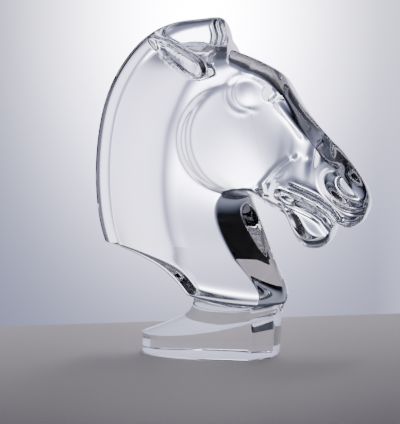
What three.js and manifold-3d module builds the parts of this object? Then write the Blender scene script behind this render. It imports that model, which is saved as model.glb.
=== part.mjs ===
// A horse's head and neck in clear crystal, cast in one piece with its oval base.
// Millimetres, +Z up. The head looks along +X, and the left and right sides mirror each other across Y = 0.
// The origin is the centre of the base's underside, where the piece rests on its table.
//
// The whole piece is one loft. Each section is a closed ring that runs from a point of the back outline
// (base, underside of the neck, crest of the mane, face) to a point of the front outline (base, throat,
// jaw, lips) along the head's right side, at -Y, and comes back along its left side. A glass maker's
// two-part mould gives the same kind of form: every point of a side has one distance from the middle plane.

import * as THREE from "three";
import Module from "manifold-3d";
import { LoftGeometry } from "three/addons/geometries/LoftGeometry.js";
import { mergeVertices } from "three/addons/utils/BufferGeometryUtils.js";

// Driving dimensions
const HEIGHT = 300;
const HEAD_WIDTH = 74;
const MANE_WIDTH = 28;
const BASE_LENGTH = 124;
const BASE_WIDTH = 84;
const BASE_BACK_HEIGHT = 18.5;
const BASE_FRONT_HEIGHT = 39.5;
const BASE_FLARE = 2.5;

// Fineness of the facets
const RING_SPACING = 4.3;
const POINTS_PER_SIDE = 22;

// The bust is drawn 300 units tall on a base whose front is 39.5 units high, with its throat over x = 64.5.
const DRAWN_HEIGHT = 300;
const DRAWN_FRONT_HEIGHT = 39.5;
const DRAWN_FRONT = 64.5;
const DRAWN_HALF_WIDTH = 37;
const unit = (HEIGHT - BASE_FRONT_HEIGHT) / (DRAWN_HEIGHT - DRAWN_FRONT_HEIGHT);
const widthUnit = HEAD_WIDTH / (2 * DRAWN_HALF_WIDTH);
const baseFront = BASE_LENGTH / 2 + BASE_FLARE;
const toMillimetres = (x, y, z) =>
  new THREE.Vector3(
    baseFront + (x - DRAWN_FRONT) * unit,
    y * widthUnit,
    BASE_FRONT_HEIGHT + (z - DRAWN_FRONT_HEIGHT) * unit,
  );
const toDrawing = (x, z) => [
  DRAWN_FRONT + (x - baseFront) / unit,
  DRAWN_FRONT_HEIGHT + (z - BASE_FRONT_HEIGHT) / unit,
];

const { clamp, lerp, smoothstep } = THREE.MathUtils;

// A section of the loft, in drawing units: back and front are the outline points it joins, half its half
// width near each of them, round how far in from each outline the side rounds over, and sag how far its
// middle hangs down. Its back can be a slab, the mane, which is band deep and mane thick in half, with the
// neck swelling out beneath it over the length crown.
// A share of 1 makes the front rounding a plane (bevel), the back one a plane (ridge), or the back flat
// (square). The front plane starts with a rounded nose of a share nose of the half width.
const plain = { sag: 0, mane: 0, band: -30, crown: 30, bevel: 0, ridge: 0, square: 0, nose: 0.12 };
function section(back, front, half, round, extra = {}) {
  return [...back, ...front, ...half, ...round, ...Object.values({ ...plain, ...extra })];
}

const maneHalf = MANE_WIDTH / 2 / widthUnit;
const baseHalf = BASE_WIDTH / 2 / widthUnit;
const baseRound = BASE_LENGTH / 2 / unit;
const FOOT_BEVEL = 1.2;
const FOOT_CHAMFER = 19;
const MANE_ROUNDING = 16;

// Stretches of the loft. Each is smooth, and neighbouring ones meet at a crisp edge.
const foot = { bevel: 1, nose: 0.42 };
const footprint = section(
  toDrawing(-BASE_LENGTH / 2 + FOOT_BEVEL, 0),
  toDrawing(BASE_LENGTH / 2 - FOOT_BEVEL, 0),
  [baseHalf - FOOT_BEVEL, baseHalf - FOOT_BEVEL],
  [baseRound, FOOT_CHAMFER],
  foot,
);
const lowerEdge = section(
  toDrawing(-BASE_LENGTH / 2, FOOT_BEVEL),
  toDrawing(BASE_LENGTH / 2, FOOT_BEVEL),
  [baseHalf, baseHalf],
  [baseRound, FOOT_CHAMFER],
  foot,
);
const rim = section(
  toDrawing(-BASE_LENGTH / 2, BASE_BACK_HEIGHT),
  toDrawing(baseFront, BASE_FRONT_HEIGHT),
  [baseHalf, baseHalf],
  [baseRound, FOOT_CHAMFER],
  { ...foot, sag: (BASE_FRONT_HEIGHT - BASE_BACK_HEIGHT) / 4 / unit },
);
const neck = { mane: maneHalf, band: 17, crown: 60, nose: 0.2 };
const under = { ...neck, bevel: 1, square: 1 };
const throat = { ...neck, bevel: 1 };
const poll = { mane: maneHalf };
const face = { ridge: 1 };
const waist = section([-15, 53], [67.5, 45], [27, 29], [46, 24], { sag: 3.5, bevel: 1, nose: 0.3 });
const lip = section([-16, 54.5], [68, 46.5], [29.5, 29.5], [12, 20], { ...under, sag: 3 });
const corner = section([-97, 99.5], [58.5, 86], [33, 33], [12, 30], under);
const maneCorner = section([-97, 99.5], [58.5, 86], [33, 33], [MANE_ROUNDING, 30], throat);
const brow = section([21, 270.8], [51.4, 136.6], [31, 34], [16, 12]);
const lipsPart = section([119.2, 182], [114, 118.5], [27, 26], [16, 4], face);

const stretches = [
  [footprint, lowerEdge],
  [lowerEdge, rim],
  [
    rim,
    section([-25, 32], [65, 41], [36, 35], [43, 21], { sag: 7, bevel: 1, nose: 0.4 }),
    section([-14.5, 42], [66, 43], [27, 30], [44, 25], { sag: 4, bevel: 1, nose: 0.35 }),
    waist,
  ],
  [waist, lip],
  [
    lip,
    section([-18, 57], [69.5, 49], [33, 33], [12, 20], { ...under, sag: 2.5 }),
    section([-24, 65], [71.5, 55], [33, 33], [18, 20], under),
    section([-41.5, 81], [68, 66], [33, 33], [20, 23], under),
    section([-70, 92.5], [63.5, 76], [33, 33], [20, 27], under),
    corner,
  ],
  [
    maneCorner,
    section([-103, 118], [54, 98], [33, 33], [MANE_ROUNDING, 34], throat),
    section([-106.5, 154], [44.5, 124], [32, 32.5], [MANE_ROUNDING, 38], throat),
    section([-104.5, 192], [37, 141], [31.5, 33], [MANE_ROUNDING, 20], { ...throat, bevel: 0.6 }),
    section([-96.5, 232], [38.5, 143.5], [31, 34], [MANE_ROUNDING, 12], neck),
    section([-78.5, 264], [41, 143.5], [31, 34], [MANE_ROUNDING, 12], neck),
    section([-57, 286.5], [43, 142.5], [31, 34], [14, 12], { ...poll, band: 18, crown: 48 }),
    section([-31, 297.5], [45, 141], [31, 34], [11, 12], { ...poll, band: 21, crown: 34 }),
    section([-5, 298.6], [47.5, 139.5], [31, 34], [8, 12], { ...poll, band: 25, crown: 24 }),
    section([13, 302], [49.5, 138], [31, 34], [7, 12], { mane: 13, band: 28, crown: 18 }),
    section([16.2, 288.5], [50.6, 137.1], [31, 34], [7, 12], { mane: 12, band: 15, crown: 16 }),
    brow,
  ],
  [
    brow,
    section([40, 264], [58, 132.5], [31, 34], [17, 12]),
    section([60, 254], [65, 129], [31, 33.5], [17, 12]),
    section([70, 247], [69, 127], [31, 33], [15, 12]),
    section([79, 228], [73, 122], [30, 32], [13, 11]),
    section([95, 207.5], [77, 110], [29.5, 31], [13, 10], { ridge: 0.5 }),
    section([103, 198.8], [83.5, 99], [28.5, 30], [15, 11], face),
    section([109, 192], [93, 95.5], [28, 28.5], [16, 12], face),
    section([114, 187.3], [105, 98], [27.5, 27], [16, 11], face),
    section([116.6, 184.8], [111, 105], [27, 26], [16, 9], face),
    section([118.2, 183], [112.3, 112], [27, 26], [16, 6], face),
    lipsPart,
  ],
  [
    lipsPart,
    section([122, 178.6], [115.3, 118], [27, 26], [16, 6], face),
    section([127, 172], [118, 116.6], [27, 26], [16, 9], face),
    section([133.5, 163.5], [122, 115.5], [27, 26], [15, 10], { ridge: 0.7 }),
    section([139.5, 155], [127, 115], [26, 25], [13, 10], { ridge: 0.2 }),
    section([143.2, 146], [132.5, 117], [23, 22], [11, 10]),
    section([144.5, 137], [138.5, 121.5], [16, 15], [8, 8]),
    section([142.5, 131], [140.3, 126.5], [8, 8], [4, 4]),
  ],
];

// Carving on the sides, as changes of the half width at a point (x, z) of the drawing.
const bell = (r) => Math.exp(-r * r);

// Coordinates along and across a line that starts at a point and leans by an angle above the +X axis.
function alongLine(x, z, [startX, startZ], degrees) {
  const angle = THREE.MathUtils.degToRad(degrees);
  const dx = x - startX;
  const dz = z - startZ;
  return [dx * Math.cos(angle) + dz * Math.sin(angle), dz * Math.cos(angle) - dx * Math.sin(angle)];
}

// Distance to a ridge or groove drawn as straight runs, and how far along it the nearest point is, 0 to 1.
function toStroke(x, z, points) {
  let best = { distance: Infinity, share: 0 };
  const runs = points.length - 1;
  for (let i = 0; i < runs; i++) {
    const [ax, az] = points[i];
    const [bx, bz] = points[i + 1];
    const lengthSquared = (bx - ax) ** 2 + (bz - az) ** 2;
    const t = clamp(((x - ax) * (bx - ax) + (z - az) * (bz - az)) / lengthSquared, 0, 1);
    const distance = Math.hypot(x - ax - t * (bx - ax), z - az - t * (bz - az));
    if (distance < best.distance) best = { distance, share: (i + t) / runs };
  }
  return best;
}

// The cheek is a disc that stands out and fades towards the eye, with a slight bulge of its lower part.
const CHEEK = { centre: [24.5, 193], radius: 48.5, rise: 1.1, edge: 5, fades: [-0.1, 0.85] };
const BULGE = { centre: [25, 187], radius: 50, rise: 2.2 };
const TOWARDS_EYE = [0.8, 0.6];
function cheek(x, z) {
  const dx = x - CHEEK.centre[0];
  const dz = z - CHEEK.centre[1];
  const r = Math.hypot(dx, dz);
  const towardsEye = (TOWARDS_EYE[0] * dx + TOWARDS_EYE[1] * dz) / CHEEK.radius;
  const fade = 1 - smoothstep(towardsEye, ...CHEEK.fades);
  const step = smoothstep(CHEEK.radius - r, 0, CHEEK.edge);
  const bulgeR = Math.hypot(x - BULGE.centre[0], z - BULGE.centre[1]) / BULGE.radius;
  return CHEEK.rise * fade * step + BULGE.rise * Math.max(0, 1 - bulgeR ** 2) ** 2;
}

// The eye is a low ball with a front corner, under a brow ridge.
const EYE = { centre: [36.5, 232.5], radius: 12, rise: 1.2, power: 1.3 };
const EYE_CORNER = { centre: [59, 232], radius: 6.5, rise: 2.6, power: 1 };
const BROW_RIDGE = { rise: 2.2, spread: 5, fullFrom: 0.5 };
const BROW_LINE = [
  [30, 251],
  [45, 252],
  [58, 244],
  [66, 234],
];
function ball(x, z, { centre, radius, rise, power }) {
  const r = Math.hypot(x - centre[0], z - centre[1]) / radius;
  return rise * Math.max(0, 1 - r * r) ** power;
}
function eye(x, z) {
  const { distance, share } = toStroke(x, z, BROW_LINE);
  const rise = BROW_RIDGE.rise * smoothstep(share, 0, BROW_RIDGE.fullFrom);
  const ridge = rise * bell(distance / BROW_RIDGE.spread);
  return ball(x, z, EYE) + ball(x, z, EYE_CORNER) + ridge;
}

// The facial crest stands out. The jaw's crease and three long hollows of the nose are sunk.
const CREST = { rise: 1.3, spread: 5 };
const CREST_LINE = [
  [67, 223],
  [78, 210],
  [88, 197],
];
const CREASE = { depth: 1.2, spread: 4 };
const CREASE_LINE = [
  [76, 176],
  [62, 166],
  [53, 155],
  [54, 146],
];
const HOLLOWS = [
  { centre: [97, 178], lean: 80, radii: [13, 5], depth: 2.2 },
  { centre: [117, 172], lean: -38, radii: [14, 6], depth: 1.5 },
  { centre: [84, 211], lean: -50, radii: [15, 5], depth: 1.6 },
];
function hollow(x, z, { centre, lean, radii, depth }) {
  const [along, across] = alongLine(x, z, centre, lean);
  return depth * bell(Math.hypot(along / radii[0], across / radii[1]));
}
function facial(x, z) {
  const crest = CREST.rise * bell(toStroke(x, z, CREST_LINE).distance / CREST.spread);
  const crease = CREASE.depth * bell(toStroke(x, z, CREASE_LINE).distance / CREASE.spread);
  return HOLLOWS.reduce((sum, h) => sum - hollow(x, z, h), crest - crease);
}

// A swollen rim around the nostril, which is cut in at the end.
const NOSTRIL = { centre: [127, 151], side: 35, lean: -32, opening: [22, 13, 13] };
const NOSTRIL_RIM = { radii: [27, 18], rise: 3, fades: [0.7, 1.15] };
function nostrilRim(x, z) {
  const [along, across] = alongLine(x, z, NOSTRIL.centre, NOSTRIL.lean);
  const r = Math.hypot(along / NOSTRIL_RIM.radii[0], across / NOSTRIL_RIM.radii[1]);
  return NOSTRIL_RIM.rise * (1 - smoothstep(r, ...NOSTRIL_RIM.fades));
}

const MOUTH = [
  [69, 147],
  [85, 140.5],
  [98, 134],
  [107.5, 127],
  [117, 114],
];
const LIPS = { rise: 1.6, off: 6, spread: 4 };
const lips = (x, z) => LIPS.rise * bell((toStroke(x, z, MOUTH).distance - LIPS.off) / LIPS.spread);

function carving(x, z) {
  return cheek(x, z) + eye(x, z) + facial(x, z) + nostrilRim(x, z) + lips(x, z);
}

// Ways for the half width to grow from 0 at an outline to 1 one rounding length inwards: a quarter circle,
// a plane with a small round nose, and a flat across nearly the whole width with rounded sides.
const roundOver = (q) => Math.sqrt(1 - (1 - clamp(q, 0, 1)) ** 2);
const NOSE_SHARE = 0.15;
const bevelOver = (q, nose) => Math.min(1, nose * roundOver(q / NOSE_SHARE) + (1 - nose) * q);
const SQUARE_POWER = 6;
const squareOver = (q) => (1 - (1 - clamp(q, 0, 1)) ** SQUARE_POWER) ** (1 / SQUARE_POWER);

// Half width of a side at a point that lies fromBack and fromFront inside the two outlines.
const WIDEST_FROM_FRONT = 165;
function halfWidth(s, x, z, fromBack, fromFront, offCrest) {
  const [halfBack, halfFront, roundBack, roundFront, , ...shape] = s.slice(4);
  const [mane, band, crown, bevel, ridge, square, nose] = shape;
  const quarter = Math.PI / 2;
  const swell = Math.sin(quarter * clamp((fromBack + offCrest - band) / crown, 0, 1));
  const towardsFront = Math.cos(quarter * Math.min(fromFront / WIDEST_FROM_FRONT, 1));
  const flat = lerp(halfBack, halfFront, towardsFront) + carving(x, z);
  const backWay = fromBack / roundBack;
  const frontWay = fromFront / roundFront;
  const bevelled = lerp(roundOver(backWay), bevelOver(backWay, plain.nose), ridge);
  const underCrest = lerp(1, roundOver((fromBack + offCrest) / MANE_ROUNDING), square);
  const backEdge = lerp(bevelled, squareOver(backWay), square) * underCrest;
  const frontEdge = lerp(roundOver(frontWay), bevelOver(frontWay, nose), bevel);
  return Math.min(backEdge, frontEdge) * lerp(mane, flat, swell);
}

// A cubic B-spline through a stretch's sections, clamped so that it starts and ends on them.
function sectionAt(stretch, t) {
  const padded = [stretch[0], stretch[0], ...stretch, stretch.at(-1), stretch.at(-1)];
  const spans = padded.length - 3;
  const span = Math.min(Math.floor(t * spans), spans - 1);
  const f = t * spans - span;
  const weights = [
    (1 - f) ** 3 / 6,
    (3 * f ** 3 - 6 * f ** 2 + 4) / 6,
    (-3 * f ** 3 + 3 * f ** 2 + 3 * f + 1) / 6,
    f ** 3 / 6,
  ];
  return stretch[0].map((_, k) => weights.reduce((sum, w, j) => sum + w * padded[span + j][k], 0));
}

// How far one section stands from the next: mostly what its ends move across its own direction.
const SLIDE_SHARE = 0.3;
function travel(a, b) {
  const [alongX, alongZ] = [a[2] - a[0], a[3] - a[1]];
  const length = Math.hypot(alongX, alongZ);
  const step = (dx, dz) => {
    const across = (dx * alongZ - dz * alongX) / length;
    const along = (dx * alongX + dz * alongZ) / length;
    return Math.hypot(across, SLIDE_SHARE * along);
  };
  return (step(b[0] - a[0], b[1] - a[1]) + step(b[2] - a[2], b[3] - a[3])) / 2;
}

// The sections of a stretch at even spacing, without its last one, which starts the next stretch.
function evenSections(stretch) {
  const steps = 400;
  const fine = Array.from({ length: steps + 1 }, (_, i) => sectionAt(stretch, i / steps));
  const run = [0];
  for (let i = 1; i <= steps; i++) run.push(run[i - 1] + travel(fine[i], fine[i - 1]));
  const total = run[steps];
  const count = stretch.length === 2 ? 1 : Math.max(2, Math.round(total / RING_SPACING));
  const sectionNear = (distance) => fine[run.findIndex((r) => r >= distance - 1e-9)];
  return Array.from({ length: count }, (_, k) => sectionNear((total * k) / count));
}

// One ring of the loft. Points crowd towards the two outlines, where the side turns fastest.
function ring(s, offCrest) {
  const [backX, backZ, frontX, frontZ, , , , , sag] = s;
  const chord = Math.hypot(frontX - backX, frontZ - backZ);
  const side = [];
  for (let i = 0; i <= POINTS_PER_SIDE; i++) {
    const v = (1 - Math.cos((Math.PI * i) / POINTS_PER_SIDE)) / 2;
    const x = lerp(backX, frontX, v);
    const z = lerp(backZ, frontZ, v) - 4 * sag * v * (1 - v);
    const atOutline = i === 0 || i === POINTS_PER_SIDE;
    const y = atOutline ? 0 : halfWidth(s, x, z, v * chord, (1 - v) * chord, offCrest);
    side.push([x, y, z]);
  }
  const right = side.map(([x, y, z]) => toMillimetres(x, -y, z));
  const left = side.slice(1, -1).reverse().map(([x, y, z]) => toMillimetres(x, y, z));
  return [...right, ...left];
}

const CREST_STARTS = 5;
const rings = stretches.flatMap((stretch, n) =>
  evenSections(stretch).map((s) => ring(s, n < CREST_STARTS ? s[0] - corner[0] : 0)),
);
rings.push(ring(stretches.at(-1).at(-1), 0));

const wasm = await Module();
wasm.setup();

// A solid from a geometry, placed in the drawing and then taken to millimetres.
function toSolid(geometry) {
  geometry.deleteAttribute("normal");
  geometry.deleteAttribute("uv");
  const { attributes, index } = mergeVertices(geometry.toNonIndexed());
  const vertProperties = attributes.position.array;
  const triVerts = Uint32Array.from(index.array);
  return new wasm.Manifold(new wasm.Mesh({ numProp: 3, vertProperties, triVerts }));
}

function placeInDrawing(geometry) {
  const position = geometry.attributes.position;
  for (let i = 0; i < position.count; i++) {
    const p = toMillimetres(position.getX(i), position.getY(i), position.getZ(i));
    position.setXYZ(i, p.x, p.y, p.z);
  }
  return geometry;
}

const ELLIPSOID_SEGMENTS = [20, 12];

// An ellipsoid with its first radius along a line that leans by an angle above the +X axis.
function ellipsoid([alongRadius, acrossRadius, sideRadius], [x, z], y, degrees) {
  const geometry = new THREE.SphereGeometry(1, ...ELLIPSOID_SEGMENTS);
  geometry.scale(alongRadius, sideRadius, acrossRadius);
  geometry.rotateY(-THREE.MathUtils.degToRad(degrees));
  geometry.translate(x, y, z);
  return toSolid(placeInDrawing(geometry));
}

// A loft from a list of sections, each a list of [x, y, z] in the drawing. side is -1 for the head's right
// side and 1 for its left.
function sideLoft(sections, side) {
  const placed = sections.map((points) => points.map(([x, y, z]) => toMillimetres(x, y * side, z)));
  if (side > 0) placed.forEach((points) => points.reverse());
  return toSolid(new LoftGeometry(placed, { capStart: true, capEnd: true }));
}

// The ear lies back along the mane: a leaf that stands out from the side, with a long hollow in it.
// Across the leaf, a share of -1 is its lower edge and 1 its upper edge.
const EAR = { base: [1.5, 248.5], lean: 147.6, length: 64, halfBreadth: 9.8, root: 12 };
const EAR_OUTLINE = { rootShare: 0.28, taper: 2.2 };
const EAR_TOP = { base: 40, tip: 17, droop: 1.3 };
const EAR_BOWL = { depth: 7, from: 0.06, length: 0.74, power: 0.8 };
const EAR_ACROSS = [-1, -0.98, -0.85, -0.6, -0.3, 0, 0.3, 0.6, 0.85, 0.98, 1];
const EAR_RIM = [-4, -1.2, 0, -0.5, -1, -1, -1, -0.5, 0, -1.2, -4];
const EAR_HOLLOW = [0, 0, 0, 0.65, 0.95, 1, 0.95, 0.65, 0, 0, 0];
const EAR_SECTIONS = 11;
function earSections() {
  const angle = THREE.MathUtils.degToRad(EAR.lean);
  return Array.from({ length: EAR_SECTIONS + 1 }, (_, i) => {
    const t = lerp(0.004, 0.996, (1 - Math.cos((Math.PI * i) / EAR_SECTIONS)) / 2);
    const outline = roundOver(t / EAR_OUTLINE.rootShare) * Math.sqrt(1 - t ** EAR_OUTLINE.taper);
    const breadth = EAR.halfBreadth * outline;
    const top = lerp(EAR_TOP.base, EAR_TOP.tip, t ** EAR_TOP.droop);
    const way = clamp((t - EAR_BOWL.from) / EAR_BOWL.length, 0, 1);
    const depth = EAR_BOWL.depth * Math.sin(Math.PI * way) ** EAR_BOWL.power;
    const at = (across, y) => [
      EAR.base[0] + t * EAR.length * Math.cos(angle) + across * breadth * Math.sin(angle),
      y,
      EAR.base[1] + t * EAR.length * Math.sin(angle) - across * breadth * Math.cos(angle),
    ];
    const outer = EAR_ACROSS.map((across, k) => at(across, top + EAR_RIM[k] - depth * EAR_HOLLOW[k]));
    return [...outer, at(1, EAR.root), at(-1, EAR.root)];
  });
}

// The parted lips: a wedge cut in from each side along the mouth, deeper towards the front.
const MOUTH_CUT = { outer: 38, opening: 4, floor: 1, shallow: 26, deep: 15, growth: 1.5, cornerShare: 0.5 };
function mouthSections() {
  return MOUTH.map(([x, z], i) => {
    const [px, pz] = MOUTH[Math.max(i - 1, 0)];
    const [nx, nz] = MOUTH[Math.min(i + 1, MOUTH.length - 1)];
    const run = Math.hypot(nx - px, nz - pz);
    const [ux, uz] = [-(nz - pz) / run, (nx - px) / run];
    const floor = lerp(MOUTH_CUT.shallow, MOUTH_CUT.deep, (i / (MOUTH.length - 1)) ** MOUTH_CUT.growth);
    const at = (across, y) => [x + across * ux, y, z + across * uz];
    const opening = MOUTH_CUT.opening * (i === 0 ? MOUTH_CUT.cornerShare : 1);
    return [
      at(opening, MOUTH_CUT.outer),
      at(-opening, MOUTH_CUT.outer),
      at(-MOUTH_CUT.floor / 2, floor),
      at(MOUTH_CUT.floor / 2, floor),
    ];
  });
}

let solid = toSolid(new LoftGeometry(rings, { capStart: true, capEnd: true }));
for (const side of [-1, 1]) {
  solid = solid.add(sideLoft(earSections(), side));
  solid = solid.subtract(ellipsoid(NOSTRIL.opening, NOSTRIL.centre, side * NOSTRIL.side, NOSTRIL.lean));
  solid = solid.subtract(sideLoft(mouthSections(), side));
}

const { vertProperties, triVerts } = solid.getMesh();
const geometry = new THREE.BufferGeometry();
geometry.setAttribute("position", new THREE.BufferAttribute(vertProperties, 3));
geometry.setIndex(new THREE.BufferAttribute(triVerts, 1));
geometry.computeVertexNormals();
const crystal = new THREE.MeshStandardMaterial({
  color: 0xf4f6fa,
  roughness: 0.02,
  metalness: 0,
  transparent: true,
  opacity: 0.35,
});
const horseHead = new THREE.Mesh(geometry, crystal);
horseHead.name = "crystal_horse_head";

const sculpture = new THREE.Group();
sculpture.add(horseHead);

export default sculpture;
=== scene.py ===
# %% [markdown]
# # A horse's head cast in clear crystal
# The real sculpture is one solid casting of clear lead crystal: head, neck, upright mane, pinned-back ears
# and an oval foot, with fire-polished edges and no joint anywhere.
# Its look comes almost wholly from bending light, so the surface has to be smooth and closed, with every
# edge rounded a little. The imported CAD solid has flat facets, which glass would show as a mosaic, so this
# lesson computes the same form again as one fine skin and lets that skin stand for the solid.

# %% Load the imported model
import math

import bpy
import numpy as np
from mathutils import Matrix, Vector


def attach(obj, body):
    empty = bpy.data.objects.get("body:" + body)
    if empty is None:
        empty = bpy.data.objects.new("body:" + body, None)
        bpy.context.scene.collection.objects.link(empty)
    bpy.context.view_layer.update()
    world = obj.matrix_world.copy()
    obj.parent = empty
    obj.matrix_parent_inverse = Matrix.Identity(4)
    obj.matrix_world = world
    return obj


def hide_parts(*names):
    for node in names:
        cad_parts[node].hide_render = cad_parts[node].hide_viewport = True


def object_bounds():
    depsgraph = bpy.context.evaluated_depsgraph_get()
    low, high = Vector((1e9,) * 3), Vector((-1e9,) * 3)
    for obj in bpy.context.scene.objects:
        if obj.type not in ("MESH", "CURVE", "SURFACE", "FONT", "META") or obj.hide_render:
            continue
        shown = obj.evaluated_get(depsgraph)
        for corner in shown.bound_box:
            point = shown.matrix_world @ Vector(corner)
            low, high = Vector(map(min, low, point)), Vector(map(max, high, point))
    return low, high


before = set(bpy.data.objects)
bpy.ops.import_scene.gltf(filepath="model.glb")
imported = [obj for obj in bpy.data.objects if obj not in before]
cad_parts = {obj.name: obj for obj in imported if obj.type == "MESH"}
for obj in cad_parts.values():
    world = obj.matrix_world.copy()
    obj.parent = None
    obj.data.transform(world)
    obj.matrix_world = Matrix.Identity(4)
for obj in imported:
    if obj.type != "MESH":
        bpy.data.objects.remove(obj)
cad_low, cad_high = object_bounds()
print("CAD nodes:", len(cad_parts), "box in metres:", [round(v, 4) for v in (*cad_low, *cad_high)])

# %% [markdown]
# ## The form as sections
# A glass maker casts such a piece in a two-part mould, so every point of a side has one distance from the
# middle plane. The form is therefore a row of sections. Each one runs from a point of the back outline
# (foot, underside of the neck, mane, face) to a point of the front outline (foot, throat, jaw, lips).
# The same sections shape the solid, so the two fit. They are drawn in millimetres at a height of 300.

# %% Sections of the drawing
MANE_HALF = 14
MANE_ROUNDING = 16
FOOT_HALF_LENGTH = 62
FOOT_HALF_WIDTH = 42
FOOT_BEVEL = 1.2
FOOT_CHAMFER = 19
RIM_BACK = 18.5
RIM_FRONT = 39.5
RIM_FLARE = 2.5


def section(back, front, half, rounding, sag=0, mane=0, band=-30, crown=30, bevel=0, ridge=0, square=0,
            nose=0.12, fine=1):
    """One section as a row of numbers. back and front are its ends (x, z), half its half width near each
    of them and rounding how far in from each end the side rounds over. sag is how far its middle hangs
    down. mane is the mane's half width, band its depth and crown how far below it the neck still swells.
    bevel turns the front rounding into a plane that starts with a nose of that share of the half width,
    ridge the back one, square makes the back flat with a small rounding at its sides, and fine packs the
    rings closer."""
    return [*back, *front, *half, *rounding, sag, mane, band, crown, bevel, ridge, square, nose, fine]


foot_plan = {"rounding": (FOOT_HALF_LENGTH, FOOT_CHAMFER), "bevel": 1, "nose": 0.42}
footprint = section(
    (-FOOT_HALF_LENGTH + FOOT_BEVEL, 0), (FOOT_HALF_LENGTH - FOOT_BEVEL, 0),
    (FOOT_HALF_WIDTH - FOOT_BEVEL,) * 2, **foot_plan,
)
lower_edge = section(
    (-FOOT_HALF_LENGTH, FOOT_BEVEL), (FOOT_HALF_LENGTH, FOOT_BEVEL), (FOOT_HALF_WIDTH,) * 2, **foot_plan,
)
rim = section(
    (-FOOT_HALF_LENGTH, RIM_BACK), (FOOT_HALF_LENGTH + RIM_FLARE, RIM_FRONT),
    (FOOT_HALF_WIDTH,) * 2, **foot_plan, sag=(RIM_FRONT - RIM_BACK) / 4,
)
neck = {"mane": MANE_HALF, "band": 17, "crown": 60, "nose": 0.2}
root = section((-15, 53), (67.5, 45), (27, 29), (46, 24), sag=3.5, bevel=1, nose=0.3)
lip = section((-16, 54.5), (68, 46.5), (29.5, 29.5), (12, 20), sag=3, bevel=1, square=1, **neck)
corner = section((-97, 99.5), (58.5, 86), (33, 33), (12, 30), bevel=1, square=1, **neck)
mane_corner = section((-97, 99.5), (58.5, 86), (33, 33), (MANE_ROUNDING, 30), bevel=1, **neck)
brow = section((21, 270.8), (51.4, 136.6), (31, 34), (16, 12), fine=1.2)
lips_part = section((119.2, 182), (114, 118.5), (27, 26), (16, 4), ridge=1)

# %% [markdown]
# Neighbouring stretches meet at a crisp edge: the rim of the foot, the lower edge of the neck, the rear
# corner of the mane, the notch between forelock and forehead, and the parting of the lips. Within a stretch
# the form flows.

# %% Stretches between crisp edges
foot_stretches = [
    [footprint, lower_edge],
    [lower_edge, rim],
    [
        rim,
        section((-25, 32), (65, 41), (36, 35), (43, 21), sag=7, bevel=1, nose=0.4),
        section((-14.5, 42), (66, 43), (27, 30), (44, 25), sag=4, bevel=1, nose=0.35),
        root,
    ],
    [root, lip],
    [
        lip,
        section((-18, 57), (69.5, 49), (33, 33), (12, 20), sag=2.5, bevel=1, square=1, **neck),
        section((-24, 65), (71.5, 55), (33, 33), (18, 20), bevel=1, square=1, **neck),
        section((-41.5, 81), (68, 66), (33, 33), (20, 23), bevel=1, square=1, **neck),
        section((-70, 92.5), (63.5, 76), (33, 33), (20, 27), bevel=1, square=1, **neck),
        corner,
    ],
]
mane_stretch = [
    mane_corner,
    section((-103, 118), (54, 98), (33, 33), (MANE_ROUNDING, 34), bevel=1, **neck),
    section((-106.5, 154), (44.5, 124), (32, 32.5), (MANE_ROUNDING, 38), bevel=1, **neck),
    section((-104.5, 192), (37, 141), (31.5, 33), (MANE_ROUNDING, 20), bevel=0.6, **neck),
    section((-96.5, 232), (38.5, 143.5), (31, 34), (MANE_ROUNDING, 12), **neck),
    section((-78.5, 264), (41, 143.5), (31, 34), (MANE_ROUNDING, 12), fine=1.3, **neck),
    section((-57, 286.5), (43, 142.5), (31, 34), (14, 12), mane=MANE_HALF, band=18, crown=48, fine=1.6),
    section((-31, 297.5), (45, 141), (31, 34), (11, 12), mane=MANE_HALF, band=21, crown=34, fine=1.8),
    section((-5, 298.6), (47.5, 139.5), (31, 34), (8, 12), mane=MANE_HALF, band=25, crown=24, fine=1.8),
    section((13, 302), (49.5, 138), (31, 34), (7, 12), mane=13, band=28, crown=18, fine=1.8),
    section((16.2, 288.5), (50.6, 137.1), (31, 34), (7, 12), mane=12, band=15, crown=16, fine=1.5),
    brow,
]
face_stretch = [
    brow,
    section((40, 264), (58, 132.5), (31, 34), (17, 12)),
    section((60, 254), (65, 129), (31, 33.5), (17, 12)),
    section((70, 247), (69, 127), (31, 33), (15, 12)),
    section((79, 228), (73, 122), (30, 32), (13, 11)),
    section((95, 207.5), (77, 110), (29.5, 31), (13, 10), ridge=0.5),
    section((103, 198.8), (83.5, 99), (28.5, 30), (15, 11), ridge=1),
    section((109, 192), (93, 95.5), (28, 28.5), (16, 12), ridge=1),
    section((114, 187.3), (105, 98), (27.5, 27), (16, 11), ridge=1),
    section((116.6, 184.8), (111, 105), (27, 26), (16, 9), ridge=1),
    section((118.2, 183), (112.3, 112), (27, 26), (16, 6), ridge=1),
    lips_part,
]
muzzle_stretch = [
    lips_part,
    section((122, 178.6), (115.3, 118), (27, 26), (16, 6), ridge=1),
    section((127, 172), (118, 116.6), (27, 26), (16, 9), ridge=1),
    section((133.5, 163.5), (122, 115.5), (27, 26), (15, 10), ridge=0.7),
    section((139.5, 155), (127, 115), (26, 25), (13, 10), ridge=0.2),
    section((143.2, 146), (132.5, 117), (23, 22), (11, 10)),
    section((144.5, 137), (138.5, 121.5), (16, 15), (8, 8)),
    section((142.5, 131), (140.3, 126.5), (8, 8), (4, 4)),
]
stretches = [*foot_stretches, mane_stretch, face_stretch, muzzle_stretch]
print("sections drawn:", sum(len(s) for s in stretches) - len(stretches) + 1)

# %% [markdown]
# ## Flowing from section to section
# A cubic B-spline has no jump in curvature, which matters in glass: a jump shows as a line in everything
# seen through it. The drawn sections are its control rows, and rings are cut from it at an even spacing,
# closer together towards a crisp edge so that the edge stays narrow.

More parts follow.
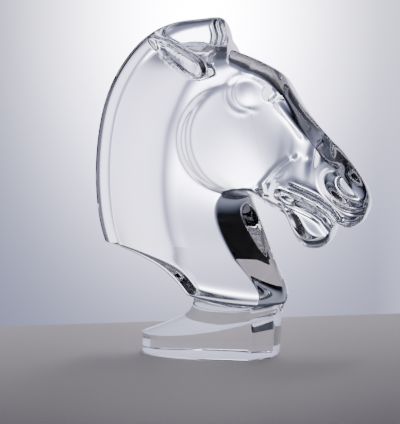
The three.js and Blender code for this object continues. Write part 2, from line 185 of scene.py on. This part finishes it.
# %% Rings along a stretch
SLIDE_SHARE = 0.3
FINE_ROWS = 3000
FEWEST_RINGS = 6
CROWDING = 0.75


def spline_rows(stretch, t):
    """Rows of the cubic B-spline over a stretch's sections, clamped at both ends, for shares t of its way:
    each row is the sum of four neighbouring sections, weighted by the four cubic basis functions."""
    rows = np.array(stretch, float)
    padded = np.vstack([rows[:1], rows[:1], rows, rows[-1:], rows[-1:]])
    spans = len(padded) - 3
    span = np.minimum((t * spans).astype(int), spans - 1)
    f = (t * spans - span)[:, None]
    weights = [(1 - f) ** 3, 3 * f**3 - 6 * f**2 + 4, -3 * f**3 + 3 * f**2 + 3 * f + 1, f**3]
    return sum(w / 6 * padded[span + k] for k, w in enumerate(weights))


def travel(rows):
    """Running distance from section to section: the mean of what both ends move across the section, with a
    share of what they slide along it, times the fineness asked for."""
    back, front = rows[:, 0:2], rows[:, 2:4]
    along = front[:-1] - back[:-1]
    along = along / np.linalg.norm(along, axis=1, keepdims=True)
    total = 0
    for ends in (back, front):
        step = np.diff(ends, axis=0)
        across = step[:, 0] * along[:, 1] - step[:, 1] * along[:, 0]
        slide = (step * along).sum(axis=1)
        total = total + np.hypot(across, SLIDE_SHARE * slide)
    return np.concatenate([[0], np.cumsum(total / 2 * rows[:-1, -1])])


def cut_rings(stretch, spacing):
    """Rows at shares u - CROWDING sin(2 pi u) / 2 pi of the travel, so that rings stand closer at both
    ends."""
    fine = spline_rows(stretch, np.linspace(0, 1, FINE_ROWS))
    run = travel(fine)
    count = max(FEWEST_RINGS, round(run[-1] / spacing))
    u = np.arange(count) / count
    share = u - CROWDING * np.sin(2 * np.pi * u) / (2 * np.pi)
    wanted = share * run[-1]
    return np.column_stack([np.interp(wanted, run, column) for column in fine.T])


# %% [markdown]
# ## Carving on the sides
# The sides carry what a carver would cut into the model for the mould: cheek, eye, brow, ridge and hollows of
# the face, nostril and mouth. Each is a change of the half width at a point (x, z) of the side view, so it
# lands on both sides at once. In glass a low relief with soft flanks already draws a clear line.

# %% Small shape helpers
STROKE_BLEND = 4


def bell(r):
    """A bump of height 1 that falls off as exp(-r squared)."""
    return np.exp(-(r**2))


def ease(value, low, high):
    """0 below low, 1 above high, and a cubic S between them."""
    t = np.clip((value - low) / (high - low), 0, 1)
    return t * t * (3 - 2 * t)


def lerp(a, b, t):
    """Straight blend from a to b."""
    return a + (b - a) * t


def along_line(x, z, start, degrees):
    """Distances along and across a line that leaves start at an angle above the +X axis."""
    angle = math.radians(degrees)
    dx, dz = x - start[0], z - start[1]
    return dx * math.cos(angle) + dz * math.sin(angle), dz * math.cos(angle) - dx * math.sin(angle)


def oval_distance(x, z, centre, degrees, radii):
    """Distance from a leaning oval's centre, where its outline is at 1."""
    along, across = along_line(x, z, centre, degrees)
    return np.hypot(along / radii[0], across / radii[1])


def to_stroke(x, z, points):
    """Distance to a stroke drawn as straight runs, and the share of the stroke at the nearest point. Soft
    weights exp(-distance squared / STROKE_BLEND) blend the shares of the runs, so corners don't show."""
    runs = len(points) - 1
    total = share_sum = 0
    nearest = np.full(np.shape(x), np.inf)
    for i, ((ax, az), (bx, bz)) in enumerate(zip(points[:-1], points[1:])):
        length = math.hypot(bx - ax, bz - az)
        t = np.clip(((x - ax) * (bx - ax) + (z - az) * (bz - az)) / length**2, 0, 1)
        distance = np.hypot(x - ax - t * (bx - ax), z - az - t * (bz - az))
        weight = np.exp(-(distance**2) / STROKE_BLEND) + 1e-12
        nearest = np.minimum(nearest, distance)
        total = total + weight
        share_sum = share_sum + weight * (i + t) / runs
    return nearest, share_sum / total


# %% Cheek
CHEEK_CENTRE = (24.5, 193)
CHEEK_RADIUS = 48.5
CHEEK_RISE = 1.1
CHEEK_EDGE = 5
CHEEK_FADES = (-0.1, 0.85)
TOWARDS_EYE = (0.8, 0.6)
BULGE_CENTRE = (25, 187)
BULGE_RADIUS = 58
BULGE = 1.3


def cheek(x, z):
    """A disc that stands out a little, with an S-shaped edge that fades towards the eye, and a slight bulge
    of its lower part."""
    dx, dz = x - CHEEK_CENTRE[0], z - CHEEK_CENTRE[1]
    r = np.hypot(dx, dz)
    towards_eye = (TOWARDS_EYE[0] * dx + TOWARDS_EYE[1] * dz) / CHEEK_RADIUS
    rise = CHEEK_RISE * ease(CHEEK_RADIUS - r, 0, CHEEK_EDGE) * (1 - ease(towards_eye, *CHEEK_FADES))
    bulge_r = np.hypot(x - BULGE_CENTRE[0], z - BULGE_CENTRE[1]) / BULGE_RADIUS
    return rise + BULGE * np.clip(1 - bulge_r**2, 0, 1) ** 2


print("cheek stands out by", round(float(cheek(*CHEEK_CENTRE)), 2), "mm at its centre")

# %% Eye and brow
EYE_CENTRE = (36.5, 232.5)
EYE_RADIUS = 12
EYE_BALL = 0.8
EYE_BALL_POWER = 1.5
LID = 0.35
LID_AT = 1.4
LID_SPREAD = 0.18
LID_FADES = (-2, 8)
EYE_CORNER = (59, 232)
EYE_CORNER_RADIUS = 6.5
EYE_CORNER_BALL = 2.6
BROW = [(30, 251), (45, 252), (58, 244), (66, 234)]
BROW_RISE = 2.2
BROW_SPREAD = 4
BROW_STARTS = (0, 0.5)


def eye(x, z):
    """A low ball, the soft lid behind it, its front corner and a brow ridge above."""
    r = np.hypot(x - EYE_CENTRE[0], z - EYE_CENTRE[1]) / EYE_RADIUS
    behind = 1 - ease(x - EYE_CENTRE[0], *LID_FADES)
    ball = EYE_BALL * np.clip(1 - r**2, 0, 1) ** EYE_BALL_POWER
    lid = LID * bell((r - LID_AT) / LID_SPREAD) * behind
    corner_r = np.hypot(x - EYE_CORNER[0], z - EYE_CORNER[1]) / EYE_CORNER_RADIUS
    corner_ball = EYE_CORNER_BALL * np.clip(1 - corner_r**2, 0, 1)
    ridge, share = to_stroke(x, z, BROW)
    return ball + lid + corner_ball + BROW_RISE * ease(share, *BROW_STARTS) * bell(ridge / BROW_SPREAD)


print("corner of the eye stands out by", round(float(eye(*EYE_CORNER)), 2), "mm")

# %% Ridges and hollows of the face
FACIAL_CREST = [(67, 223), (78, 210), (88, 197)]
CREST_RISE = 1.3
CREST_SPREAD = 3.6
JAW_CREASE = [(76, 176), (62, 166), (53, 155), (54, 146)]
CREASE_DEPTH = 1.2
CREASE_SPREAD = 2.4
HOLLOWS = {
    "between crest and nostril": (2.2, (97, 178), 80, (13, 3.6)),
    "above the nostril": (1.5, (117, 172), -38, (14, 5)),
    "along the nose": (1.6, (84, 211), -50, (15, 4)),
}


def face(x, z):
    """The facial crest, less the crease behind the mouth's corner and the hollows, each of which is a depth
    times a bell over a leaning oval."""
    crest, _ = to_stroke(x, z, FACIAL_CREST)
    crease, _ = to_stroke(x, z, JAW_CREASE)
    sunk = CREASE_DEPTH * bell(crease / CREASE_SPREAD)
    for depth, centre, lean, radii in HOLLOWS.values():
        sunk = sunk + depth * bell(oval_distance(x, z, centre, lean, radii))
    return CREST_RISE * bell(crest / CREST_SPREAD) - sunk


print("hollows of the face:", ", ".join(HOLLOWS))

# %% Nostril
NOSTRIL_CENTRE = (127, 151)
NOSTRIL_LEAN = -32
NOSTRIL_RIM = (27, 18)
RIM_SWELL = 3
RIM_FADES = (0.7, 1.15)
NOSTRIL_OPENING = (22, 13)
OPENING_LIFT = 0.5
NOSTRIL_DEPTH = 8
NOSTRIL_FLANK = (0.55, 1.12)


def nostril(x, z):
    """A swollen rim around a deep almond-shaped hollow with a flat floor, so that one looks straight through
    its middle."""
    along, across = along_line(x, z, NOSTRIL_CENTRE, NOSTRIL_LEAN)
    outer = np.hypot(along / NOSTRIL_RIM[0], across / NOSTRIL_RIM[1])
    inner = np.hypot(along / NOSTRIL_OPENING[0], (across - OPENING_LIFT) / NOSTRIL_OPENING[1])
    return RIM_SWELL * (1 - ease(outer, *RIM_FADES)) - NOSTRIL_DEPTH * (1 - ease(inner, *NOSTRIL_FLANK))


print("nostril is sunk by", round(-float(nostril(*NOSTRIL_CENTRE)), 2), "mm")

# %% Mouth
MOUTH = [(69, 147), (85, 140.5), (98, 134), (107.5, 127), (117, 114)]
LIP_SWELL = 1.6
LIP_OFF = 6
LIP_SPREAD = 3
MOUTH_DEPTHS = (3, 12)
MOUTH_FLANK = (0.3, 4)


def mouth(x, z):
    """A groove that deepens towards the front, with a swollen lip on both sides of it."""
    distance, share = to_stroke(x, z, MOUTH)
    lips = LIP_SWELL * bell((distance - LIP_OFF) / LIP_SPREAD)
    depth = lerp(*MOUTH_DEPTHS, share**1.5)
    return lips - depth * (1 - ease(distance, *MOUTH_FLANK))


print("mouth is sunk by", MOUTH_DEPTHS[0], "mm at its corner and", MOUTH_DEPTHS[1], "mm at its front")

# %% Locks at the end of the forelock
LOCK_RISE = 1.6
LOCK_WIDTH = 5
LOCK_WAVE = 1.2
LOCK_TURN = 3.4
LOCKS_FROM = (1, 6)
LOCKS_TO = (17, 24)
LOCKS_ABOVE = (271, 279)


def locks(x, z):
    """Wavy strands on the last centimetres of the forelock, as a sine across their run, which fades out at
    both ends and downwards."""
    strand = np.sin(2 * np.pi * (x - LOCK_WAVE * np.sin(z / LOCK_TURN)) / LOCK_WIDTH)
    return LOCK_RISE * strand * ease(x, *LOCKS_FROM) * ease(z, *LOCKS_ABOVE) * (1 - ease(x, *LOCKS_TO))


print("locks stand out by up to", LOCK_RISE, "mm and are", LOCK_WIDTH, "mm apart")

# %% [markdown]
# The ear lies back along the mane: a leaf that stands out from the side with a long hollow in it. A leaf of
# its own would leave a seam inside the glass, so it is a rise of the side as well.

# %% Ear
EAR_BASE = (1.5, 248.5)
EAR_LEAN = 147.6
EAR_LENGTH = 64
EAR_HALF_BREADTH = 9.8
EAR_ROOT = 0.28
EAR_TAPER = 2.2
EAR_RISES = (9, 6)
EAR_FLANK = (-0.3, 2.2)
EAR_HOLLOW = 6.5
EAR_HOLLOW_FLANK = (2.2, 4.6)
EAR_START = -2
HOLLOW_FROM = (0.04, 0.25)
HOLLOW_TO = (0.55, 0.9)


def ear(x, z):
    """How far the ear stands out. Its breadth is a half circle at the root times a slow taper to the tip,
    its flank an S and its hollow a smaller leaf inside the first, which fades out at the root and the tip."""
    along, across = along_line(x, z, EAR_BASE, EAR_LEAN)
    t = np.clip(along / EAR_LENGTH, 0.0001, 0.9999)
    root = np.sqrt(1 - (1 - np.minimum(t / EAR_ROOT, 1)) ** 2)
    edge = EAR_HALF_BREADTH * root * np.sqrt(1 - t**EAR_TAPER) - np.abs(across)
    leaf = lerp(*EAR_RISES, t) * ease(edge, *EAR_FLANK)
    bowl = EAR_HOLLOW * ease(edge, *EAR_HOLLOW_FLANK) * ease(t, *HOLLOW_FROM) * (1 - ease(t, *HOLLOW_TO))
    return np.where((along > EAR_START) & (along < EAR_LENGTH), leaf - bowl, 0)


def carving(x, z):
    """All the carving of the head together, but for the ear and the locks, which stand on the mane."""
    return cheek(x, z) + eye(x, z) + face(x, z) + nostril(x, z) + mouth(x, z)


print("ear is", EAR_LENGTH, "mm long and", 2 * EAR_HALF_BREADTH, "mm broad")

# %% [markdown]
# ## From sections to a skin
# The mane is a flat slab along the back outline, and below it the neck swells out to its full width, which it
# then keeps, so that one sees straight through it. The points of a ring crowd where its side turns.

# %% Half width on the rings
POINTS_PER_SIDE = 112
BLEND_LENGTH = 165
RELIEF_EDGE = 4
NOSE_SHARE = 0.15
CORNER_WIDTH = 0.04
SQUARE_POWER = 6


def round_over(q):
    """0 at an outline, 1 from one rounding radius inwards, and a quarter circle between."""
    return np.sqrt(1 - (1 - np.clip(q, 0, 1)) ** 2)


def bevel_over(q, nose=0.12):
    """0 at an outline, a small round nose, a straight flank, and a rounded corner to 1."""
    flank = nose * round_over(q / NOSE_SHARE) + (1 - nose) * q
    overlap = np.clip(CORNER_WIDTH - np.abs(1 - flank), 0, None) / CORNER_WIDTH
    return np.minimum(1, flank) - overlap**2 * CORNER_WIDTH / 4


def square_over(q):
    """0 at an outline, then flat across nearly the whole width, with a small rounding at its side: a
    superellipse of the power SQUARE_POWER."""
    return (1 - (1 - np.clip(q, 0, 1)) ** SQUARE_POWER) ** (1 / SQUARE_POWER)


def side_surface(rows, off_crest, v):
    """Points x, y, z of one side for sections in rows and shares v along them. In the side view a point lies
    on the section's chord, lowered by its sag. y starts as the mane's half width, swells as a quarter sine
    to the carved neck's, is rounded over at both ends, and has the ear and the locks added."""
    columns = [column[:, None] for column in rows.T]
    back_x, back_z, front_x, front_z, half_back, half_front, round_back, round_front = columns[:8]
    sag, mane, band, crown, bevel, ridge, square, nose, _ = columns[8:]
    chord = np.hypot(front_x - back_x, front_z - back_z)
    x = lerp(back_x, front_x, v)
    z = lerp(back_z, front_z, v) - 4 * sag * v * (1 - v)
    from_back, from_front = v * chord, (1 - v) * chord
    swell = np.sin(np.pi / 2 * np.clip((from_back + off_crest[:, None] - band) / crown, 0, 1))
    widening = np.cos(np.pi / 2 * np.minimum(from_front / BLEND_LENGTH, 1))
    flat = lerp(half_back, half_front, widening) + carving(x, z)
    back_way, front_way = from_back / round_back, from_front / round_front
    back_edge = lerp(lerp(round_over(back_way), bevel_over(back_way), ridge), square_over(back_way), square)
    crest_edge = round_over((from_back + off_crest[:, None]) / MANE_ROUNDING)
    back_edge = back_edge * lerp(1, crest_edge, square)
    edge = np.minimum(back_edge, lerp(round_over(front_way), bevel_over(front_way, nose), bevel))
    relief = ear(x, z) + locks(x, z) * (mane / MANE_HALF)
    y = edge * (mane + (flat - mane) * swell) + round_over(from_back / RELIEF_EDGE) * relief
    return x, y, z


# %% Points on every ring
TURN_LENGTH = 5
SHARPEST_TURN = 0.3
DENSE_POINTS = 1400
EVENING_PASSES = 16


def spread_points(rows, off_crest):
    """The side surface with points spread evenly over a measure of each ring: its running length plus a
    length for every radian that it turns. A dense ring is measured, and the measure is inverted. Passes of
    a 1-2-1 mean over neighbouring rings then even the shares out along the piece."""
    t = np.linspace(0, 1, DENSE_POINTS)
    dense = t**4 / (t**4 + (1 - t) ** 4)
    points = np.stack(side_surface(rows, off_crest, np.broadcast_to(dense, (len(rows), len(dense)))), axis=-1)
    steps = np.diff(points, axis=1)
    lengths = np.linalg.norm(steps, axis=-1)
    headings = steps / np.maximum(lengths, 1e-9)[..., None]
    turns = np.minimum(np.linalg.norm(np.diff(headings, axis=1), axis=-1), SHARPEST_TURN)
    measure = lengths + TURN_LENGTH * np.concatenate([turns, np.zeros((len(rows), 1))], axis=1)
    run = np.concatenate([np.zeros((len(rows), 1)), np.cumsum(measure, axis=1)], axis=1)
    even = np.linspace(0, 1, POINTS_PER_SIDE + 1)
    v = np.array([np.interp(even * r[-1], r, dense) for r in run])
    for _ in range(EVENING_PASSES):
        v[1:-1] = (v[:-2] + 2 * v[1:-1] + v[2:]) / 4
    v[:, 0], v[:, -1] = 0, 1
    x, y, z = side_surface(rows, off_crest, v)
    y[:, 0] = y[:, -1] = 0
    return np.stack([x, y, z], axis=-1)


# %% [markdown]
# Rings are cut closer on the head, where the carving is fine. On the underside a ring's back end isn't the
# crest of the mane yet, so its distance from the rear corner is counted as well.

# %% Cut the rings
FOOT_SPACING = 1.5
NECK_SPACING = 1.275
HEAD_SPACING = 0.825

spacings = [FOOT_SPACING] * 4 + [NECK_SPACING] * 2 + [HEAD_SPACING] * 2
crests_from = len(foot_stretches)
ring_rows, ring_offsets = [], []
for number, (stretch, spacing) in enumerate(zip(stretches, spacings)):
    cut = cut_rings(stretch, spacing)
    ring_rows.append(cut)
    ring_offsets.append(cut[:, 0] - corner[0] if number < crests_from else np.zeros(len(cut)))
ring_rows.append(np.array([muzzle_stretch[-1]], float))
ring_offsets.append(np.zeros(1))
print("rings per stretch:", [len(r) for r in ring_rows])
side = spread_points(np.vstack(ring_rows), np.concatenate(ring_offsets))
print("side grid:", side.shape, "triangles:", 2 * side.shape[0] * 2 * POINTS_PER_SIDE)

# %% [markdown]
# Both sides are joined into closed rings. The first ring is the outline of the flat underside and the last
# one a small flat at the tip of the muzzle, and each is closed by a fan around its centre.

# %% Mesh of the crystal
def closed_skin(half):
    """Vertices and faces of the closed skin. half holds one side; the other is its mirror image in y, and
    the points on the middle plane are shared."""
    rings = np.concatenate([half * (1, -1, 1), half[:, -2:0:-1]], axis=1)
    count, width = rings.shape[:2]
    index = np.arange(count * width).reshape(count, width)
    nxt = np.roll(index, -1, axis=1)
    quads = np.stack([index[:-1], nxt[:-1], nxt[1:], index[1:]], axis=-1).reshape(-1, 4)
    tip = rings[-1].mean(axis=0)
    centre = rings[0].mean(axis=0)
    vertices = np.vstack([rings.reshape(-1, 3), centre, tip])
    under = np.stack([nxt[0], index[0], np.full(width, count * width)], axis=-1)
    end = np.stack([index[-1], nxt[-1], np.full(width, count * width + 1)], axis=-1)
    return vertices, quads, np.vstack([under, end])


def fit_to_solid(vertices):
    """Stretches the skin by a hair so that its box is the solid's box, in metres."""
    low, high = vertices.min(axis=0), vertices.max(axis=0)
    share = (vertices - low) / (high - low)
    return np.array(cad_low) + share * (np.array(cad_high) - np.array(cad_low))


vertices, quads, fans = closed_skin(side)
placed = fit_to_solid(vertices)
skin = bpy.data.meshes.new("crystal_skin")
skin.from_pydata(placed.tolist(), [], quads.tolist() + fans.tolist())
skin.validate()
skin.polygons.foreach_set("use_smooth", np.ones(len(skin.polygons), bool))
crystal = bpy.data.objects.new("crystal_horse_head_skin", skin)
bpy.context.scene.collection.objects.link(crystal)
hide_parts("crystal_horse_head")
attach(crystal, "root")
print("crystal faces:", len(skin.polygons), "drawing to metres:", placed.ptp(axis=0) / vertices.ptp(axis=0))

# %% [markdown]
# ## Clear lead crystal
# Lead crystal bends light more than window glass, which gives the strong dark and bright edges. It has no
# colour to speak of and a fire polish, so the shader is plain: full transmission, an index of refraction
# near 1.55 and no roughness. A bump pattern would only blur what the form shows, so there is none.

# %% Crystal material
CRYSTAL_IOR = 1.55
CRYSTAL_COLOUR = (0.985, 0.99, 1.0, 1)

clear_crystal = bpy.data.materials.new("clear_crystal_polished")
clear_crystal.use_nodes = True
shader = clear_crystal.node_tree.nodes["Principled BSDF"]
shader.inputs["Base Color"].default_value = CRYSTAL_COLOUR
shader.inputs["Transmission Weight"].default_value = 1
shader.inputs["IOR"].default_value = CRYSTAL_IOR
shader.inputs["Roughness"].default_value = 0.0
skin.materials.append(clear_crystal)
print("crystal with an index of refraction of", CRYSTAL_IOR)

# %% [markdown]
# ## Table and surroundings
# The sculpture stands on a matt mauve-grey table in front of a softly lit sheet: very bright behind the mane
# and dimmer towards the edges, the usual way to photograph glass. A flat rectangle is table enough. Its
# colour carries painted light: painted shade darkens it towards the front, and painted glow from the sheet
# makes it lighter towards the sheet and along the line of sight.

# %% Table
AZIMUTH = math.radians(12)
TABLE_TURN = 24.8
TABLE_BACK = 0.202
TABLE_FRONT = -0.9
TABLE_HALF_WIDTH = 1.1
# Painted light in the table's colour: its mauve is nearly black at the front and lightens towards the sheet,
# as painted shade and painted glow from the sheet.
TABLE_TONES_WITH_PAINTED_LIGHT = {-0.5: (0.06, 0.055, 0.052), -0.15: (0.42, 0.388, 0.36), 0.2: (0.8, 0.735, 0.69)}
# Painted light: the table's colour is paler in a stripe along the line of sight, a painted glow from the
# sheet.
TABLE_PAINTED_GLOW = 0.45
TABLE_PAINTED_GLOW_WIDTH = 0.1

table_mesh = bpy.data.meshes.new("table")
corners = [(-TABLE_HALF_WIDTH, TABLE_FRONT, 0), (TABLE_HALF_WIDTH, TABLE_FRONT, 0),
           (TABLE_HALF_WIDTH, TABLE_BACK, 0), (-TABLE_HALF_WIDTH, TABLE_BACK, 0)]
turn = np.array([[math.cos(math.radians(TABLE_TURN)), math.sin(math.radians(TABLE_TURN)), 0],
                 [-math.sin(math.radians(TABLE_TURN)), math.cos(math.radians(TABLE_TURN)), 0], [0, 0, 1]])
table_mesh.from_pydata((np.array(corners) @ turn).tolist(), [], [(0, 1, 2, 3)])
table = bpy.data.objects.new("table", table_mesh)
bpy.context.scene.collection.objects.link(table)
print("table is", 2 * TABLE_HALF_WIDTH, "m wide and", round(TABLE_BACK - TABLE_FRONT, 3), "m deep")


# %% Node helpers
class Wiring:
    """Adds nodes to one tree and joins them, so that each step of a formula is one short line."""

    def __init__(self, tree):
        self.tree = tree

    def node(self, kind, *inputs, **settings):
        made = self.tree.nodes.new(kind)
        for name, value in settings.items():
            setattr(made, name, value)
        for socket, value in zip(made.inputs, inputs):
            if isinstance(value, bpy.types.NodeSocket):
                self.tree.links.new(value, socket)
            else:
                socket.default_value = value
        return made

    def math(self, operation, *inputs, **settings):
        return self.node("ShaderNodeMath", *inputs, operation=operation, **settings).outputs[0]

    def vector(self, operation, *inputs):
        return self.node("ShaderNodeVectorMath", *inputs, operation=operation)

    def ramp(self, value, stops, interpolation="B_SPLINE"):
        """Colours at stops {position: colour} of a value between 0 and 1."""
        made = self.node("ShaderNodeValToRGB", value)
        made.color_ramp.interpolation = interpolation
        elements = made.color_ramp.elements
        while len(elements) < len(stops):
            elements.new(0.5)
        for element, (position, colour) in zip(elements, stops.items()):
            element.position = position
            element.color = (*colour, 1)
        return made.outputs["Color"]


# %% [markdown]
# A path tracer finds hardly any of the light that a clear foot passes on to the table beneath it, so that
# ellipse of the table gives off the missing light itself, up to a narrow soft edge.

# %% Table colour with painted light
LIT_HALF_LENGTH = FOOT_HALF_LENGTH / 1000
LIT_HALF_WIDTH = FOOT_HALF_WIDTH / 1000
PASSED_LIGHT = 0.5
PASSED_COLOUR = (0.72, 0.8, 1.15, 1)
PASSED_EDGE = 25

# The table's material: its mauve colour with painted light in it, painted shade towards the front and painted
# glow towards the sheet.
table_colour_and_painted_light = bpy.data.materials.new("mauve_table_with_painted_light")
table_colour_and_painted_light.use_nodes = True
wiring = Wiring(table_colour_and_painted_light.node_tree)
place = wiring.node("ShaderNodeTexCoord").outputs["Object"]
towards_sheet = wiring.vector("DOT_PRODUCT", place, tuple(turn[1])).outputs["Value"]
nearest, farthest = min(TABLE_TONES_WITH_PAINTED_LIGHT), max(TABLE_TONES_WITH_PAINTED_LIGHT)
# Painted light: the ramp darkens the table's colour towards the front as painted shade and lightens it
# towards the sheet as painted glow.
share = wiring.math("MULTIPLY_ADD", towards_sheet, 1 / (farthest - nearest), -nearest / (farthest - nearest),
                    use_clamp=True)
tone_stops_with_painted_light = {(y - nearest) / (farthest - nearest): tone for y, tone in TABLE_TONES_WITH_PAINTED_LIGHT.items()}
# Painted light: a stripe along the line of sight scales the table's colour up, as painted glow from the
# sheet.
across_view = wiring.vector("DOT_PRODUCT", place, (math.cos(AZIMUTH), math.sin(AZIMUTH), 0)).outputs["Value"]
off_middle = wiring.math("DIVIDE", across_view, TABLE_PAINTED_GLOW_WIDTH)
squared = wiring.math("MULTIPLY", off_middle, off_middle)
painted_glow_share = wiring.math("EXPONENT", wiring.math("MULTIPLY", squared, -1))
painted_glow_colour = wiring.vector("SCALE", wiring.ramp(share, tone_stops_with_painted_light, "LINEAR"))
wiring.tree.links.new(wiring.math("MULTIPLY_ADD", painted_glow_share, TABLE_PAINTED_GLOW, 1), painted_glow_colour.inputs["Scale"])
table_shader = table_colour_and_painted_light.node_tree.nodes["Principled BSDF"]
table_colour_and_painted_light.node_tree.links.new(painted_glow_colour.outputs["Vector"], table_shader.inputs["Base Color"])
table_shader.inputs["Roughness"].default_value = 0.8
in_foot = wiring.vector("MULTIPLY", place, (1 / LIT_HALF_LENGTH, 1 / LIT_HALF_WIDTH, 0)).outputs["Vector"]
reach = wiring.vector("LENGTH", in_foot).outputs["Value"]
passed_on = wiring.math("SUBTRACT", 1, reach, use_clamp=True)
lit = wiring.math("MULTIPLY", wiring.math("MULTIPLY", passed_on, PASSED_EDGE, use_clamp=True), PASSED_LIGHT)
table_colour_and_painted_light.node_tree.links.new(lit, table_shader.inputs["Emission Strength"])
table_shader.inputs["Emission Color"].default_value = PASSED_COLOUR
table_mesh.materials.append(table_colour_and_painted_light)
print("lit oval of the table in metres:", 2 * LIT_HALF_LENGTH, "by", 2 * LIT_HALF_WIDTH)

# %% [markdown]
# The camera stands 1.6 m away, turned a little towards the muzzle and above the middle of the piece, with a
# long lens that keeps the profile true.

# %% Camera
DISTANCE = 1.6
TARGET = Vector((-0.0096, 0, 0.1266))
CAMERA_HEIGHT = 0.26
FOCAL_PIXELS = 1795
FRAME_LONG_SIDE = 424

camera_data = bpy.data.cameras.new("camera")
camera_data.sensor_width = 36
camera_data.lens = FOCAL_PIXELS / FRAME_LONG_SIDE * camera_data.sensor_width
camera = bpy.data.objects.new("camera", camera_data)
camera.location = TARGET + Vector((math.sin(AZIMUTH), -math.cos(AZIMUTH), 0)) * DISTANCE
camera.location.z = CAMERA_HEIGHT
camera.rotation_euler = (TARGET - camera.location).to_track_quat("-Z", "Y").to_euler()
bpy.context.scene.collection.objects.link(camera)
bpy.context.scene.camera = camera
print("lens in mm:", round(camera_data.lens, 1))

# %% [markdown]
# The sheet's brightness is a glow that falls off as 1 / cosh squared of the angle from its middle, which is a
# round top with straight flanks, on a surround that depends on the compass angle from the glow and on the
# height. Glass bends light from well outside the picture into it, so the surround shapes the crystal more
# than the glow does: bright to the right for the clear neck, dark to the left, most of all in a gap where
# the throat's bevel looks. From 13 degrees up it is dark, which the rounded edge under the neck shows as a
# dark lens, and overhead it is bright again to light the table.

# %% Surroundings
GLOW_AZIMUTH = -12
GLOW_ELEVATION = 1
GLOW_FLATTENING = 0.71
GLOW_WIDTH = 2.8
GLOW_REACH = 12
GLOW_COLOUR = (16, 15.8, 18)
BY_COMPASS = {
    -180: (0.60, 0.60, 0.64),
    -150: (0.15, 0.15, 0.18),
    -95: (0.12, 0.12, 0.15),
    -75: (0.35, 0.35, 0.40),
    -58: (0.34, 0.36, 0.46),
    -40: (0.34, 0.36, 0.46),
    -18: (0.20, 0.22, 0.30),
    -10: (0.28, 0.30, 0.42),
    6: (0.28, 0.30, 0.42),
    7.5: (0.9, 0.9, 1.1),
    9.3: (2.6, 2.5, 3.0),
    18: (2.9, 2.8, 3.4),
    32: (2.8, 2.7, 3.2),
    36: (0.6, 0.6, 0.75),
    41: (0.1, 0.11, 0.15),
    90: (0.4, 0.4, 0.45),
    112: (0.09, 0.1, 0.13),
    140: (0.09, 0.1, 0.13),
    180: (0.60, 0.60, 0.64),
}
BY_HEIGHT = {
    -90: (0.3, 0.3, 0.3),
    -34: (0.11, 0.115, 0.14),
    -28: (0.11, 0.115, 0.14),
    -21: (0.8, 0.8, 0.85),
    -8: (1.06, 1.04, 1.18),
    -3: (0.99, 0.98, 1.12),
    0: (1.0, 0.99, 1.03),
    3: (1.0, 1.0, 1.0),
    9: (1.2, 1.2, 1.22),
    11.5: (1.0, 1.0, 1.05),
    13.5: (0.02, 0.025, 0.035),
    36: (0.02, 0.025, 0.035),
    52: (1.7, 1.7, 1.7),
    90: (2.6, 2.6, 2.5),
}
GAP_DIRECTION = (-38, -12.5)
GAP_WIDTH = 14
GAP_POWER = 4
GAP_STRENGTH = 1.15
print("sky stops:", len(BY_COMPASS), "by compass angle and", len(BY_HEIGHT), "by height")

# %% Sky helpers
world = bpy.data.worlds.new("studio")
world.use_nodes = True
bpy.context.scene.world = world
wiring = Wiring(world.node_tree)


def compass(azimuth, elevation):
    """Unit vector at an azimuth from +Y towards +X and an elevation, in degrees."""
    a, e = math.radians(azimuth), math.radians(elevation)
    return math.sin(a) * math.cos(e), math.cos(a) * math.cos(e), math.sin(e)


def angle_from(vector, azimuth, elevation):
    """Angle between a unit vector and a compass direction, in radians."""
    cosine = wiring.vector("DOT_PRODUCT", vector, compass(azimuth, elevation)).outputs["Value"]
    return wiring.math("ARCCOSINE", cosine)


def scaled(vector, factor):
    """A vector or colour times a number."""
    made = wiring.vector("SCALE", vector)
    if isinstance(factor, bpy.types.NodeSocket):
        wiring.tree.links.new(factor, made.inputs["Scale"])
    else:
        made.inputs["Scale"].default_value = factor
    return made.outputs["Vector"]


def bright_ramp(share, stops, whole):
    """A ramp over degrees, whole of them in all and 0 in the middle, whose colours may be above 1."""
    top = max(max(colour) for colour in stops.values())
    shares = {0.5 + degrees / whole: tuple(v / top for v in colour) for degrees, colour in stops.items()}
    return scaled(wiring.ramp(share, shares), top)


# %% Glow, surround and gap
ray = wiring.node("ShaderNodeTexCoord").outputs["Generated"]
flattened = wiring.vector("MULTIPLY", ray, (1, 1, GLOW_FLATTENING)).outputs["Vector"]
unit = wiring.vector("NORMALIZE", flattened).outputs["Vector"]
widths = wiring.math("DIVIDE", angle_from(unit, GLOW_AZIMUTH, GLOW_ELEVATION), math.radians(GLOW_WIDTH))
peak = wiring.math("POWER", wiring.math("COSH", wiring.math("MINIMUM", widths, GLOW_REACH)), -2)
glow = scaled(GLOW_COLOUR, peak)

ahead = wiring.vector("DOT_PRODUCT", ray, compass(GLOW_AZIMUTH, 0)).outputs["Value"]
aside = wiring.vector("DOT_PRODUCT", ray, compass(GLOW_AZIMUTH + 90, 0)).outputs["Value"]
turned = wiring.math("MULTIPLY_ADD", wiring.math("ARCTAN2", aside, ahead), 0.5 / math.pi, 0.5)
around = bright_ramp(turned, BY_COMPASS, 360)
upwards = wiring.vector("DOT_PRODUCT", ray, (0, 0, 1)).outputs["Value"]
raised = wiring.math("MULTIPLY_ADD", wiring.math("ARCSINE", upwards), 1 / math.pi, 0.5)
by_height = bright_ramp(raised, BY_HEIGHT, 180)

gap = wiring.math("DIVIDE", angle_from(unit, *GAP_DIRECTION), math.radians(GAP_WIDTH))
in_gap = wiring.math("EXPONENT", wiring.math("MULTIPLY", wiring.math("POWER", gap, GAP_POWER), -1))
open_share = wiring.math("MULTIPLY_ADD", in_gap, -GAP_STRENGTH, 1, use_clamp=True)

sheet = wiring.vector("ADD", glow, around).outputs["Vector"]
light = scaled(wiring.vector("MULTIPLY", sheet, by_height).outputs["Vector"], open_share)
background = world.node_tree.nodes["Background"]
world.node_tree.links.new(light, background.inputs["Color"])
background.inputs["Strength"].default_value = 1
print("sky nodes:", len(world.node_tree.nodes))
